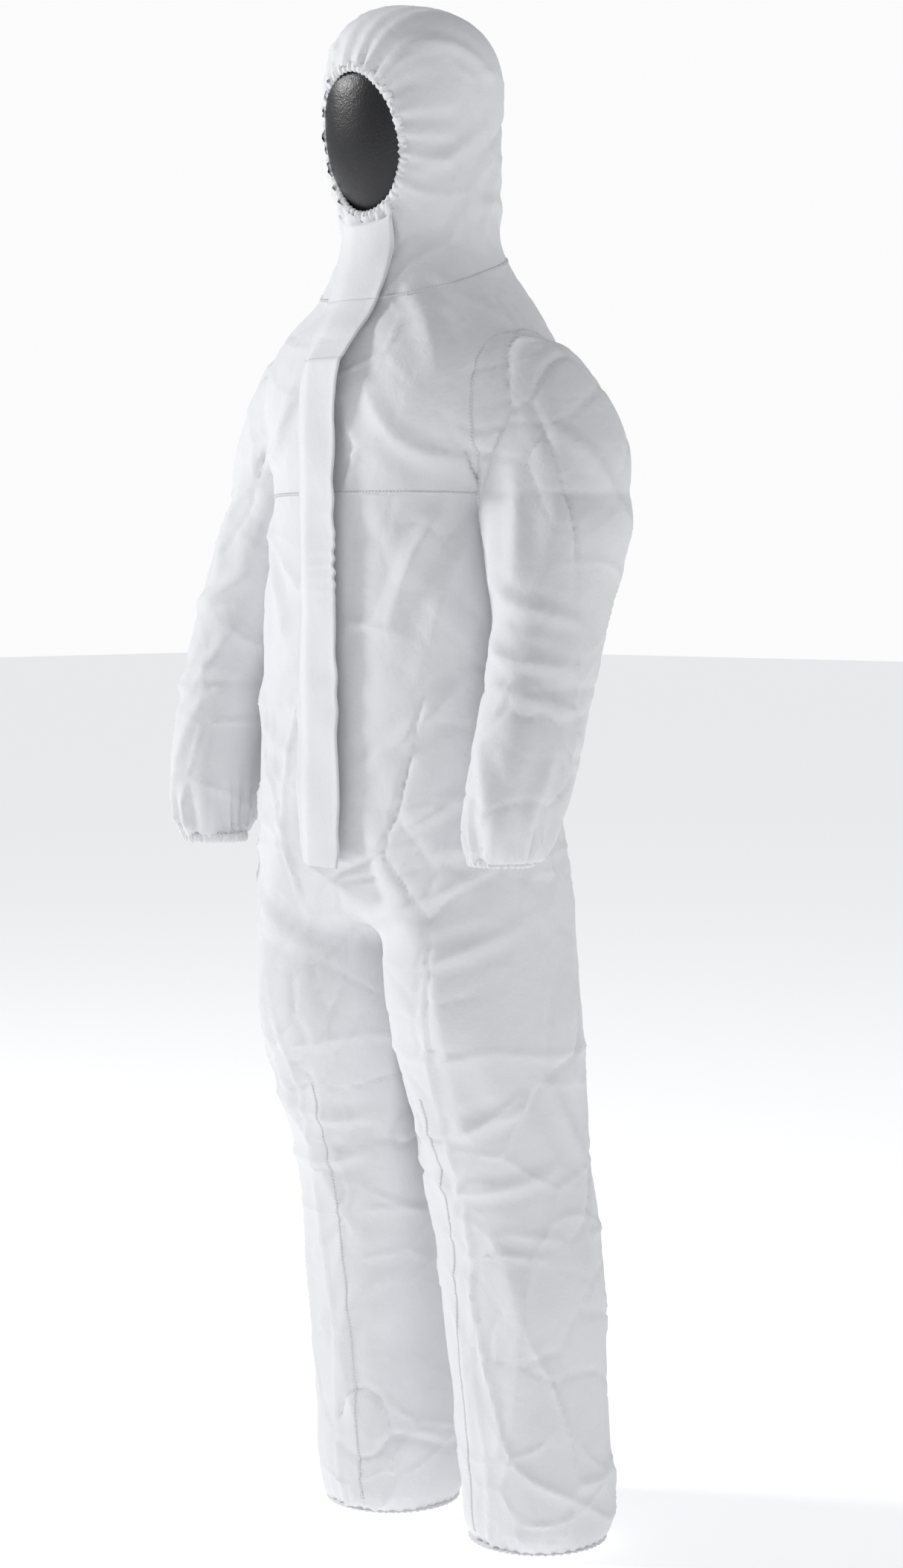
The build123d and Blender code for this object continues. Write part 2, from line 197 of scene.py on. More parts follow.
# ---- the cloth settles over the form ----
garment = add_object("garment", cloth_mesh)
co = coords(cloth_mesh)
nrm = normals(cloth_mesh)


def face_radius(co):
    """1 on the outline of the face opening, less inside it; large anywhere behind the front."""
    r = np.sqrt((co[:, 0] / FACE_HX) ** 2 + ((co[:, 2] - FACE_Z) / FACE_HZ) ** 2)
    return np.where(co[:, 1] < -0.03, r, 9.0)


inner = add_object("inner", cloth_mesh.copy())
set_coords(inner.data, co - nrm * 0.009)
inner.modifiers.new("collide", "COLLISION")
inner.collision.thickness_outer = 0.003
inner.collision.cloth_friction = 6.0
pin = np.zeros(len(co))
pin = np.maximum(pin, smooth((1.12 - face_radius(co)) / 0.10))
cuff_gap = np.where(np.abs(co[:, 0]) > 0.19, co[:, 2] - CUFF_Z, 1.0)
pin = np.maximum(pin, np.where(np.abs(cuff_gap) < 0.04, smooth((0.024 - cuff_gap) / 0.016), 0))
pin = np.maximum(pin, smooth((0.028 - co[:, 2]) / 0.016))
front = (co[:, 1] < -0.08) & (co[:, 2] < 1.42) & (co[:, 2] > 0.80)
pin = np.maximum(pin, front * smooth((0.024 - np.abs(co[:, 0])) / 0.012) * 0.9)
pin = np.maximum(pin, 0.10 * smooth((co[:, 2] - 1.66) / 0.08))
group = garment.vertex_groups.new(name="pin")
for i in np.nonzero(pin > 0.001)[0]:
    group.add([int(i)], float(pin[i]), "REPLACE")
cloth = garment.modifiers.new("cloth", "CLOTH")
cs = cloth.settings
cs.quality = 5
cs.mass = 0.12
cs.air_damping = 2.0
cs.tension_stiffness = 25
cs.compression_stiffness = 25
cs.shear_stiffness = 8
cs.bending_stiffness = 12.0
cs.tension_damping = 8
cs.compression_damping = 8
cs.bending_damping = 1.0
cs.shrink_min = -GROWTH
cs.vertex_group_mass = "pin"
cs.pin_stiffness = 4.0
cloth.collision_settings.distance_min = 0.004
cloth.collision_settings.collision_quality = 3
cloth.point_cache.frame_start = 1
cloth.point_cache.frame_end = SETTLE_FRAMES
scene = bpy.context.scene
for step in range(1, SETTLE_FRAMES + 1):
    scene.frame_set(step)
settled = coords(evaluated(garment))
scene.frame_set(1)
garment.modifiers.clear()
bpy.data.objects.remove(inner)
move = settled - co
edges = np.array([e.vertices[:] for e in cloth_mesh.edges])
degree = np.bincount(edges.ravel(), minlength=len(co))[:, None]
for _ in range(9):
    total = np.zeros_like(move)
    np.add.at(total, edges[:, 0], move[edges[:, 1]])
    np.add.at(total, edges[:, 1], move[edges[:, 0]])
    move = 0.35 * move + 0.65 * total / np.maximum(degree, 1)
move *= 1.25
far = np.linalg.norm(move, axis=1)
print("settled: mean move", far.mean(), "largest", far.max())
move *= np.minimum(1, 0.024 / np.maximum(far, 1e-9))[:, None]
set_coords(cloth_mesh, co + move)
bpy.data.objects.remove(form)

# ---- refined cloth with crisp creases, gathers and packing folds ----
fine = garment.modifiers.new("fine", "SUBSURF")
fine.levels = 1
skin = evaluated(garment)
bpy.data.objects.remove(garment)
co = coords(skin)
co = shift_sleeves(co, 0.007 - SLEEVE_SHIFT)
set_coords(skin, co)
nrm = normals(skin)
X, Y, Z = co.T


def cells(co, size, seed, stretch=(1, 1, 1)):
    """Distance to the nearest cell wall of a scattered cell pattern, 0 on the wall, about 1 inside."""
    rng = np.random.default_rng(seed)
    p = co / (np.array(stretch) * size)
    low = np.floor(p.min(0)) - 1
    span = (np.ceil(p.max(0)) + 1 - low).astype(int)
    grid = np.indices(span).reshape(3, -1).T + low
    seeds = grid + rng.random(grid.shape)
    tree = KDTree(len(seeds))
    for i, s in enumerate(seeds):
        tree.insert(s, i)
    tree.balance()
    out = np.empty(len(p))
    for i, q in enumerate(p):
        near = tree.find_n(q, 2)
        out[i] = near[1][2] - near[0][2]
    return out


def drift(co, scale, seed):
    """Slow smooth variation between about -1 and 1."""
    rng = np.random.default_rng(seed)
    out = np.zeros(len(co))
    for _ in range(5):
        way = rng.normal(size=3)
        way /= np.linalg.norm(way)
        out += np.sin(co @ way * scale * rng.uniform(0.7, 1.6) + rng.uniform(0, 6.28))
    return out / 2.6


lift = np.zeros(len(co))
for size, sharp, depth, seed, stretch in (
    (0.165, 0.030, 0.0044, 3, (1, 1, 1.7)),
    (0.090, 0.042, 0.0024, 5, (1.3, 1.3, 1)),
    (0.040, 0.070, 0.0008, 9, (1, 1, 1)),
):
    warp = co + np.stack([drift(co, 26, seed + q) for q in range(3)], 1) * size * 0.16
    wall = cells(warp, size, seed, stretch)
    sign = np.clip(drift(co, 14, seed + 20) * 1.8, -1, 1)
    lift += depth * sign * (np.exp(-wall / sharp) - 0.12)
lift += 0.0035 * drift(co, 22, 40)

DRAPE_STRENGTH = 0.78
FOLD_STEPS = 41

# drape folds: (points along the fold on the wearer's left, half width, height)
DRAPES = [
    ([(0.152, -0.10, 1.275), (0.10, -0.14, 1.30), (0.055, -0.150, 1.37)], 0.011, 0.0060),
    ([(0.156, -0.09, 1.245), (0.12, -0.13, 1.17), (0.085, -0.145, 1.08)], 0.012, 0.0065),
    ([(0.160, -0.07, 1.20), (0.145, -0.11, 1.12), (0.13, -0.13, 0.99)], 0.014, 0.0060),
    ([(0.170, -0.07, 1.05), (0.12, -0.135, 0.97), (0.05, -0.150, 0.93)], 0.010, 0.0050),
    ([(0.185, -0.05, 0.93), (0.13, -0.135, 0.87), (0.06, -0.150, 0.845)], 0.009, 0.0055),
    ([(0.190, -0.06, 0.82), (0.11, -0.13, 0.775), (0.03, -0.12, 0.750)], 0.012, 0.0070),
    ([(0.195, -0.03, 0.75), (0.13, -0.12, 0.71), (0.05, -0.10, 0.705)], 0.010, 0.0055),
    ([(0.130, -0.12, 0.70), (0.145, -0.10, 0.60), (0.135, -0.06, 0.50)], 0.014, 0.0055),
    ([(0.040, -0.03, 0.505), (0.11, -0.055, 0.515), (0.19, -0.02, 0.545)], 0.010, 0.0060),
    ([(0.050, -0.03, 0.455), (0.12, -0.048, 0.440), (0.20, 0.02, 0.465)], 0.009, 0.0060),
    ([(0.190, 0.00, 0.58), (0.200, 0.03, 0.52), (0.19, 0.07, 0.47)], 0.012, 0.0060),
    ([(0.150, -0.03, 0.40), (0.165, 0.0, 0.27), (0.15, -0.005, 0.12)], 0.012, 0.0048),
    ([(0.060, 0.02, 0.33), (0.10, -0.02, 0.24), (0.09, -0.01, 0.10)], 0.011, 0.0045),
    ([(0.205, 0.06, 0.36), (0.207, 0.08, 0.22), (0.20, 0.09, 0.08)], 0.012, 0.0050),
    ([(0.255, -0.05, 1.31), (0.275, -0.01, 1.27), (0.285, 0.04, 1.20)], 0.012, 0.0065),
    ([(0.210, -0.075, 1.29), (0.235, -0.09, 1.20), (0.24, -0.10, 1.13)], 0.012, 0.0060),
    ([(0.192, -0.09, 1.14), (0.24, -0.105, 1.115), (0.285, -0.04, 1.09)], 0.009, 0.0065),
    ([(0.196, -0.11, 1.08), (0.245, -0.125, 1.055), (0.290, -0.05, 1.04)], 0.009, 0.0065),
    ([(0.205, -0.13, 1.01), (0.25, -0.13, 1.02), (0.288, -0.06, 0.985)], 0.010, 0.0060),
    ([(0.225, -0.15, 0.97), (0.25, -0.155, 0.91), (0.245, -0.15, 0.87)], 0.010, 0.0050),
    ([(0.282, -0.09, 0.96), (0.283, -0.11, 0.91), (0.27, -0.12, 0.87)], 0.010, 0.0055),
    ([(0.080, -0.06, 1.49), (0.12, -0.04, 1.455), (0.15, 0.0, 1.42)], 0.011, 0.0055),
    ([(0.055, -0.08, 1.475), (0.10, -0.09, 1.42), (0.13, -0.10, 1.36)], 0.012, 0.0060),
    ([(0.080, 0.02, 1.53), (0.085, 0.04, 1.58), (0.08, 0.05, 1.63)], 0.009, 0.0050),
    ([(0.050, 0.095, 1.56), (0.075, 0.06, 1.575), (0.085, 0.0, 1.565)], 0.009, 0.0055),
    ([(0.062, -0.09, 1.74), (0.080, -0.03, 1.74), (0.080, 0.03, 1.71)], 0.009, 0.0055),
    ([(0.072, -0.085, 1.60), (0.088, -0.04, 1.62), (0.090, 0.02, 1.66)], 0.009, 0.0045),
    ([(0.150, 0.08, 1.26), (0.10, 0.12, 1.30), (0.05, 0.14, 1.38)], 0.013, 0.0060),
    ([(0.165, 0.05, 1.10), (0.11, 0.11, 1.06), (0.02, 0.115, 1.05)], 0.011, 0.0060),
    ([(0.175, 0.05, 0.93), (0.11, 0.11, 0.90), (0.03, 0.12, 0.84)], 0.011, 0.0060),
    ([(0.150, 0.10, 0.76), (0.11, 0.118, 0.70), (0.05, 0.10, 0.67)], 0.011, 0.0060),
    ([(0.060, 0.13, 0.52), (0.11, 0.14, 0.50), (0.18, 0.12, 0.54)], 0.010, 0.0065),
    ([(0.060, 0.13, 0.46), (0.12, 0.14, 0.47), (0.18, 0.12, 0.43)], 0.010, 0.0065),
]
surface = BVHTree.FromPolygons([tuple(v) for v in co], [tuple(f.vertices) for f in skin.polygons])
for x_sign in (1, -1):
    shake = np.random.default_rng(60 + x_sign)
    for points, width, height in DRAPES:
        ctrl = np.array(points) * (x_sign, 1, 1)
        if x_sign < 0:
            ctrl = ctrl + shake.normal(size=ctrl.shape) * (0.004, 0.004, 0.014)
        tree = KDTree(FOLD_STEPS)
        line = []
        for i in range(FOLD_STEPS):
            t = i / (FOLD_STEPS - 1)
            bend = 2 * ctrl[1] - (ctrl[0] + ctrl[2]) / 2    # the curve passes through the middle point
            p = (1 - t) ** 2 * ctrl[0] + 2 * t * (1 - t) * bend + t * t * ctrl[2]
            hit = surface.find_nearest(Vector(p))[0]
            tree.insert(hit, i)
            line.append(hit)
        tree.balance()
        line = np.array(line)
        reach = 3.2 * width
        near = np.nonzero(((co > line.min(0) - reach) & (co < line.max(0) + reach)).all(1))[0]
        for v in near:
            _, i, d = tree.find(co[v])
            if d < reach:
                taper = math.sin(math.pi * (i + 0.5) / FOLD_STEPS) ** 0.6
                ridge = math.exp(-(d / width) ** 1.4)
                dip = 0.35 * math.exp(-((d - 1.7 * width) / width) ** 2)
                lift[v] += DRAPE_STRENGTH * height * taper * (ridge - dip)

# packing folds: level lines round the legs and hips, upright lines down the legs
side = np.sign(X)
leg_mid = 0.118
for level, depth in ((0.831, 0.0024), (0.600, 0.003), (0.385, 0.0028), (1.235, 0.0)):
    wave = level + 0.006 * np.sin(X * 31 + Y * 23 + level * 90)
    lift += np.where(np.abs(X) < 0.205, 1, 0) * depth * np.exp(-np.abs(Z - wave) / 0.006)
sleeve = (np.abs(X) > 0.185) & (Z > 0.80)
for level in (1.236, 1.02):
    lift -= np.where(sleeve, 0.003, 0) * np.exp(-np.abs(Z - level - 0.02 * (Y + 0.02)) / 0.007)
front_leg = (Z < 0.74) & (Y < 0.05 + 0.1 * (0.74 - Z))
line = np.abs(np.abs(X) - leg_mid - 0.004 * np.sin(Z * 21))
lift += np.where(front_leg, 0.0030 * smooth((0.70 - Z) / 0.1), 0) * np.exp(-line / 0.005)

# gathers at the face, wrists and ankles
fr = face_radius(co)
turn = np.arctan2((Z - FACE_Z) / FACE_HZ, X / FACE_HX)
gap = (fr - 1) * (FACE_HX + FACE_HZ) / 2
near_face = np.where(fr < 3, np.exp(-np.clip(gap, 0, 1) / 0.016), 0)
wide_face = np.where(fr < 3, np.exp(-np.clip(gap, 0, 1) / 0.045), 0)
lift += near_face * 0.0019 * np.sin(turn * 44 + 2 * np.sin(turn * 7))
lift += wide_face * 0.0026 * np.sin(turn * 19 + 1.5 * np.sin(turn * 5))
for x_sign in (-1, 1):
    cx = x_sign * CUFF.x
    arm = (X * x_sign > 0.185) & (Z < 0.95) & (Z > 0.8)
    a = np.arctan2(Y - CUFF.y, X - cx)
    up = np.clip(Z - CUFF_Z, 0, 1)
    lift += np.where(arm, np.exp(-up / 0.020) * 0.0016 * np.sin(a * 30), 0)
    puff = np.exp(-((up - 0.03) / 0.035) ** 2)
    lift += np.where(arm, puff * 0.0038 * np.sin(a * 11 + 2 * np.sin(a * 3)), 0)
    ax = x_sign * ANKLE.x
    leg = (X * x_sign > 0) & (Z < 0.12)
    a = np.arctan2(Y - ANKLE.y, X - ax)
    lift += np.where(leg, np.exp(-np.clip(Z, 0, 1) / 0.02) * 0.0018 * np.sin(a * 34 + np.sin(a * 5)), 0)
zip_band = (Y < -0.08) & (Z > FLAP_BOX[0][2] - 0.02) & (Z < 1.34)
calm = np.where(zip_band, smooth((np.abs(X) - 0.012) / 0.03), 1)
co = co + nrm * (lift * calm)[:, None]
flat = np.where(zip_band, 1 - smooth((np.abs(X) - 0.016) / 0.022), 0) * smooth((1.34 - Z) / 0.03)
co[:, 1] = co[:, 1] * (1 - flat) - 0.150 * flat
set_coords(skin, co)

# ---- cuts: rims, zip slot and the lines where pieces meet ----
bm = bmesh.new()
bm.from_mesh(skin)


def cut(point, normal, where, clear=False):
    """Cuts the faces that where(centre) picks along a plane; clear drops the side the normal points to."""
    faces = [f for f in bm.faces if where(f.calc_center_median())]
    geom = set(faces)
    for f in faces:
        geom.update(f.edges)
        geom.update(f.verts)
    bmesh.ops.bisect_plane(
        bm, geom=list(geom), plane_co=point, plane_no=normal, dist=1e-6, clear_outer=clear)


def trunk_side(z):
    return 0.155 + max(0.0, 1.235 - z) * 0.079 + 0.009


def is_arm(c):
    if c.z < 0.90 and c.y > -0.015 - (0.915 - c.z) * 0.54:
        return False
    return abs(c.x) > (trunk_side(c.z) if c.z < ARMPIT_Z else ARM_CUT_X) and c.z > 0.80


cut(Vector((0, 0, CUFF_Z + 0.004)), Vector((0, 0, -1)), lambda c: is_arm(c) and c.z < 0.88, True)
cut(Vector((0, 0, 0.005)), Vector((0, 0, -1)), lambda c: c.z < 0.05, True)
doomed = [
    f for f in bm.faces
    if f.calc_center_median().y < -0.05
    and (f.calc_center_median().x / FACE_HX) ** 2 + ((f.calc_center_median().z - FACE_Z) / FACE_HZ) ** 2 < 1
]
bmesh.ops.delete(bm, geom=doomed, context="FACES")
for v in bm.verts:
    if v.is_boundary and v.co.z > 1.45:
        r = math.hypot(v.co.x / FACE_HX, (v.co.z - FACE_Z) / FACE_HZ)
        v.co.x /= r
        v.co.z = FACE_Z + (v.co.z - FACE_Z) / r

in_front = lambda c: abs(c.x) < 0.04 and c.y < -0.08
for level in (ZIP_BOX[0][2], ZIP_BOX[1][2]):
    cut(Vector((0, 0, level)), Vector((0, 0, 1)), lambda c: in_front(c) and abs(c.z - level) < 0.02)
zip_part = lambda c: in_front(c) and ZIP_BOX[0][2] - 0.001 < c.z < ZIP_BOX[1][2] + 0.001
for x in (-ZIP_SLOT, ZIP_SLOT):
    cut(Vector((x, 0, 0)), Vector((1, 0, 0)), zip_part)
slot_faces = [
    f for f in bm.faces
    if abs(f.calc_center_median().x) < ZIP_SLOT and f.calc_center_median().y < -0.08
    and ZIP_BOX[0][2] < f.calc_center_median().z < ZIP_BOX[1][2]
]
bmesh.ops.delete(bm, geom=slot_faces, context="FACES")

neck_cut = NECK - NECK_UP * 0.018
cut(neck_cut, NECK_UP, lambda c: c.z > 1.40 and abs(c.x) < 0.13)
for s in (-1, 1):
    cut(Vector((s * ARM_CUT_X, 0, 0)), Vector((s, 0, 0)), lambda c: c.z > 1.19 and c.x * s > 0.13)
cut(Vector((0, 0, ARMPIT_Z)), Vector((0, 0, 1)), lambda c: abs(c.x) > ARM_CUT_X and 1.19 < c.z < 1.24)
cut(Vector((0, 0, SLEEVE_CUT_Z)), Vector((0, 0, 1)), lambda c: is_arm(c) and 1.12 < c.z < 1.18)
cut(Vector((0, 0, HIP_CUT_Z)), Vector((0, 0, 1)), lambda c: abs(c.x) < trunk_side(c.z) and 0.83 < c.z < 0.9)
cut(Vector((0, 0, THIGH_CUT_Z)), Vector((0, 0, 1)), lambda c: 0.51 < c.z < 0.58)
cut(Vector((0, 0, 0)), Vector((1, 0, 0)), lambda c: abs(c.x) < 0.03 and c.z < 1.5)
cut(Vector((0, 0, CHEST_SEAM)), Vector((0, 0, 1)), lambda c: abs(c.x) < ARM_CUT_X and 1.21 < c.z < 1.26)
bmesh.ops.remove_doubles(bm, verts=bm.verts, dist=1e-5)
bmesh.ops.recalc_face_normals(bm, faces=bm.faces)
bm.normal_update()


def region(c):
    """The piece a face belongs to."""
    s = "left" if c.x > 0 else "right"
    if (c - neck_cut).dot(NECK_UP) > 0 and abs(c.x) < 0.13 and c.z > 1.44:
        return "hood_cloth"
    if is_arm(c):
        return s + ("_shoulder_cloth" if c.z > SLEEVE_CUT_Z else "_sleeve_cloth")
    if c.z < THIGH_CUT_Z:
        return s + "_leg_cloth"
    if c.z < HIP_CUT_Z:
        return s + "_hip_cloth"
    face = "front" if c.y < -0.008 else "back"
    return f"{s}_{face}_{'yoke' if c.z > CHEST_SEAM else 'trunk'}_cloth"


bm.verts.index_update()
pts = [v.co.copy() for v in bm.verts]
vnorm = [v.normal.copy() for v in bm.verts]
groups = {}
for f in bm.faces:
    groups.setdefault(region(f.calc_center_median()), []).append([v.index for v in f.verts])
whole = BVHTree.FromBMesh(bm)
seam_source = bm.copy()
bm.free()


# ---- materials ----
def material(name, color, rough, fine_scale, fine_bump, broad=0.0, sheen=0.0, metal=0.0, dots=0.0):
    """Procedural finish: colour that varies a little, broad and fine relief, optional bond dots."""
    m = bpy.data.materials.new(name)
    m.use_nodes = True
    n, l = m.node_tree.nodes, m.node_tree.links
    p = n["Principled BSDF"]
    p.inputs["Roughness"].default_value = rough
    p.inputs["Metallic"].default_value = metal
    p.inputs["Sheen Weight"].default_value = sheen
    where = n.new("ShaderNodeTexCoord").outputs["Object"]
    tone = n.new("ShaderNodeTexNoise")
    tone.inputs["Scale"].default_value = 9
    tone.inputs["Detail"].default_value = 6
    l.new(where, tone.inputs["Vector"])
    ramp = n.new("ShaderNodeValToRGB")
    ramp.color_ramp.elements[0].position = 0.3
    ramp.color_ramp.elements[1].position = 0.75
    ramp.color_ramp.elements[0].color = tuple(c * 0.94 for c in color) + (1,)
    ramp.color_ramp.elements[1].color = tuple(color) + (1,)
    l.new(tone.outputs["Fac"], ramp.inputs["Fac"])
    l.new(ramp.outputs["Color"], p.inputs["Base Color"])
    grain = n.new("ShaderNodeTexNoise")
    grain.inputs["Scale"].default_value = fine_scale
    grain.inputs["Detail"].default_value = 8
    l.new(where, grain.inputs["Vector"])
    bump = n.new("ShaderNodeBump")
    bump.inputs["Strength"].default_value = fine_bump
    bump.inputs["Distance"].default_value = 0.001
    l.new(grain.outputs["Fac"], bump.inputs["Height"])
    last = bump
    if broad:
        crush = n.new("ShaderNodeTexVoronoi")
        crush.feature = "DISTANCE_TO_EDGE"
        crush.inputs["Scale"].default_value = 55
        l.new(where, crush.inputs["Vector"])
        wide = n.new("ShaderNodeBump")
        wide.inputs["Strength"].default_value = broad
        wide.inputs["Distance"].default_value = 0.002
        l.new(crush.outputs["Distance"], wide.inputs["Height"])
        l.new(last.outputs["Normal"], wide.inputs["Normal"])
        last = wide
    if dots:
        bond = n.new("ShaderNodeTexVoronoi")
        bond.inputs["Scale"].default_value = 520
        bond.inputs["Randomness"].default_value = 0.25
        l.new(where, bond.inputs["Vector"])
        press = n.new("ShaderNodeBump")
        press.inputs["Strength"].default_value = dots
        press.inputs["Distance"].default_value = 0.0004
        l.new(bond.outputs["Distance"], press.inputs["Height"])
        l.new(last.outputs["Normal"], press.inputs["Normal"])
        last = press
    l.new(last.outputs["Normal"], p.inputs["Normal"])
    return m


NONWOVEN = material("nonwoven", (0.83, 0.835, 0.85), 0.72, 240, 0.35, 0.22, 0.25, 0.0, 0.25)
RIM = material("gathered_rim", (0.86, 0.865, 0.87), 0.78, 500, 0.5, 0.0, 0.3, 0.0, 0.2)
THREAD = material("thread", (0.80, 0.80, 0.81), 0.6, 1500, 0.5, 0.0, 0.2)
SKIN = material("head_skin", (0.013, 0.013, 0.014), 0.36, 420, 0.5, 0.18)
TAPE = material("zip_tape", (0.80, 0.81, 0.83), 0.8, 1800, 0.6, 0.0, 0.3)
COIL = material("zip_coil", (0.82, 0.82, 0.83), 0.42, 900, 0.2)
METAL = material("zip_metal", (0.62, 0.63, 0.65), 0.3, 300, 0.1, 0.0, 0.0, 1.0)
GLUE = material("adhesive", (0.80, 0.79, 0.74), 0.25, 300, 0.15)
PAPER = material("liner_paper", (0.86, 0.85, 0.81), 0.5, 700, 0.2)


def build(name, verts, faces, mat, vertex_normals=None):
    mesh = bpy.data.meshes.new(name)
    mesh.from_pydata([tuple(v) for v in verts], [], faces)
    mesh.update()
    mesh.polygons.foreach_set("use_smooth", [True] * len(mesh.polygons))
    if vertex_normals is not None:
        mesh.normals_split_custom_set_from_vertices(vertex_normals)
    o = add_object(name, mesh)
    o.data.materials.append(mat)
    return o


pieces = {}
for name, faces in sorted(groups.items()):
    used = sorted({i for f in faces for i in f})
    remap = {old: new for new, old in enumerate(used)}
    pieces[name] = build(
        name, [pts[i] for i in used], [[remap[i] for i in f] for f in faces], NONWOVEN,
        [vnorm[i] for i in used],
    )
    print(name, len(faces))


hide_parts("hood_left_panel", "hood_right_panel", "hood_centre_panel", "chin_panel")
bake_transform(pieces["hood_cloth"])
for s, k in (("left", 1), ("right", -1)):
    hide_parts(s + "_sleeve_upper")
    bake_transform(pieces[s + "_shoulder_cloth"])
    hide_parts(s + "_sleeve_lower")
    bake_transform(pieces[s + "_sleeve_cloth"])
    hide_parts(s + "_leg_upper")
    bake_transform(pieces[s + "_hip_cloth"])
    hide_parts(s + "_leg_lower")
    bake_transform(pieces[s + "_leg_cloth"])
    names = {"front_trunk": "front_{}_panel", "back_trunk": "back_{}_panel",
             "front_yoke": "chest_{}_panel", "back_yoke": "back_yoke_{}"}
    for part, node in names.items():
        o = pieces[f"{s}_{part}_cloth"]
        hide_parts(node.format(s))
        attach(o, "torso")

head_co = node_points("head_form")
tuck = np.maximum(smooth((head_co[:, 2] - 1.69) / 0.07), smooth((head_co[:, 1] + 0.085) / 0.06))
head_mid = np.array([0.0, -0.02, 1.62])
head_co = head_mid + (head_co - head_mid) * (1 - 0.075 * tuck)[:, None]
head_faces = [list(f.vertices) for f in NODES["head_form"].data.polygons]
head = build("display_head", head_co, head_faces, SKIN)
bm = bmesh.new()
bm.from_mesh(head.data)
bmesh.ops.remove_doubles(bm, verts=bm.verts, dist=1e-5)
bm.to_mesh(head.data)
bm.free()
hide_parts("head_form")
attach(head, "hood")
for name, mat in (("zip_tape_left", TAPE), ("zip_tape_right", TAPE),
                  ("zip_coil_left", COIL), ("zip_coil_right", COIL), ("zip_stops", METAL),
                  ("zip_slider", METAL), ("zip_puller", METAL)):
    NODES[name].data.materials.clear()
    NODES[name].data.materials.append(mat)


# ---- gathered rims ----
def gathered_ring(name, centre_line, outward, up, width, thick, folds, depth, mat, seed=0):
    """A puckered band: centre_line(a) gives a point, outward(a) its outward way and up(a) its axial way."""
    around, across = 420, 10
    verts, faces = [], []
    rng = np.random.default_rng(seed)
    phase = rng.random(5) * 6.28
    for i in range(around):
        a = 2 * math.pi * i / around
        p, o, u = Vector(centre_line(a)), Vector(outward(a)), Vector(up(a))
        pleat = (math.sin(folds * a + 1.6 * math.sin(5 * a + phase[0]))
                 + 0.5 * math.sin(folds * 1.7 * a + phase[1]))
        for j in range(across):
            b = 2 * math.pi * j / across
            swell = thick + depth * pleat * max(0.0, math.cos(b) * 0.5 + 0.5)
            verts.append(p + o * (math.cos(b) * swell) + u * (math.sin(b) * width * (1 + 0.12 * pleat)))
    for i in range(around):
        for j in range(across):
            n, m = (i + 1) % around, (j + 1) % across
            faces.append([i * across + j, n * across + j, n * across + m, i * across + m])
    return build(name, verts, faces, mat)


def face_point(a):
    x, z = math.cos(a) * FACE_HX * 0.985, FACE_Z + math.sin(a) * FACE_HZ * 0.985
    out = Vector((math.cos(a) * FACE_HX * 1.05, -0.4, FACE_Z + math.sin(a) * FACE_HZ * 1.05))
    hit = whole.ray_cast(out, Vector((0, 1, 0)))
    y = hit[0].y if hit[0] else -0.1
    return x, y + 0.002, z


RIM_LINE = [Vector(face_point(2 * math.pi * i / 72)) for i in range(72)]
RIM_Y = np.array([p.y for p in RIM_LINE])
RIM_Y = sum(np.roll(RIM_Y, k) for k in range(-2, 3)) / 5


def rim_point(a):
    t = a / (2 * math.pi) * 72
    i = int(t) % 72
    f = t - int(t)
    y = RIM_Y[i] * (1 - f) + RIM_Y[(i + 1) % 72] * f
    return math.cos(a) * FACE_HX * 0.99, y, FACE_Z + math.sin(a) * FACE_HZ * 0.99


rim = gathered_ring(
    "face_rim", rim_point, lambda a: (0, -1, 0),
    lambda a: Vector((math.cos(a), 0, math.sin(a))), 0.0060, 0.0032, 58, 0.0010, RIM, 2)
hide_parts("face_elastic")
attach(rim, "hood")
for s, k in (("left", 1), ("right", -1)):
    ring = gathered_ring(
        s + "_cuff_gather",
        lambda a: (k * CUFF.x + math.cos(a) * CUFF_R, CUFF.y + math.sin(a) * CUFF_R, CUFF_Z + 0.005),
        lambda a: (math.cos(a), math.sin(a), 0), lambda a: (0, 0, 1),
        0.0060, 0.0022, 34, 0.0012, RIM, 3 + k)
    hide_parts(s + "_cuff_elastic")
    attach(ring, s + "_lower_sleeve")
    ring = gathered_ring(
        s + "_ankle_gather",
        lambda a: (k * ANKLE.x + math.cos(a) * ANKLE_R, ANKLE.y + math.sin(a) * ANKLE_R, 0.0042),
        lambda a: Vector((0, 0, -1)), lambda a: (math.cos(a), math.sin(a), 0),
        0.0090, 0.0022, 60, 0.0010, RIM, 8 + k)
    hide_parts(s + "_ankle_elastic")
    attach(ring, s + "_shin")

# ---- storm flap, collar flap and chin flap: strips that lie on the garment's front ----
FREE_EDGE, RIGHT_EDGE = FLAP_BOX[1][0] + 0.016, FLAP_BOX[0][0]


MAIN_TOP = FLAP_BOX[1][2]
FLAP_FRONT = FLAP_BOX[0][1] - 0.0012


def front_y(x, z):
    if abs(x) < ZIP_SLOT + 0.004:
        return (front_y(-ZIP_SLOT - 0.005, z) + front_y(ZIP_SLOT + 0.005, z)) / 2
    hit = whole.ray_cast(Vector((x, -0.6, z)), Vector((0, 1, 0)))
    return hit[0].y if hit[0] is not None else -0.1


def flap_edge_x(z):
    """Free edge of the flap: nearly straight below the chest, leaning out to the neck above it."""
    return FREE_EDGE + 0.003 * math.sin(z * 9) + 0.012 * float(smooth((z - 1.32) / 0.12))


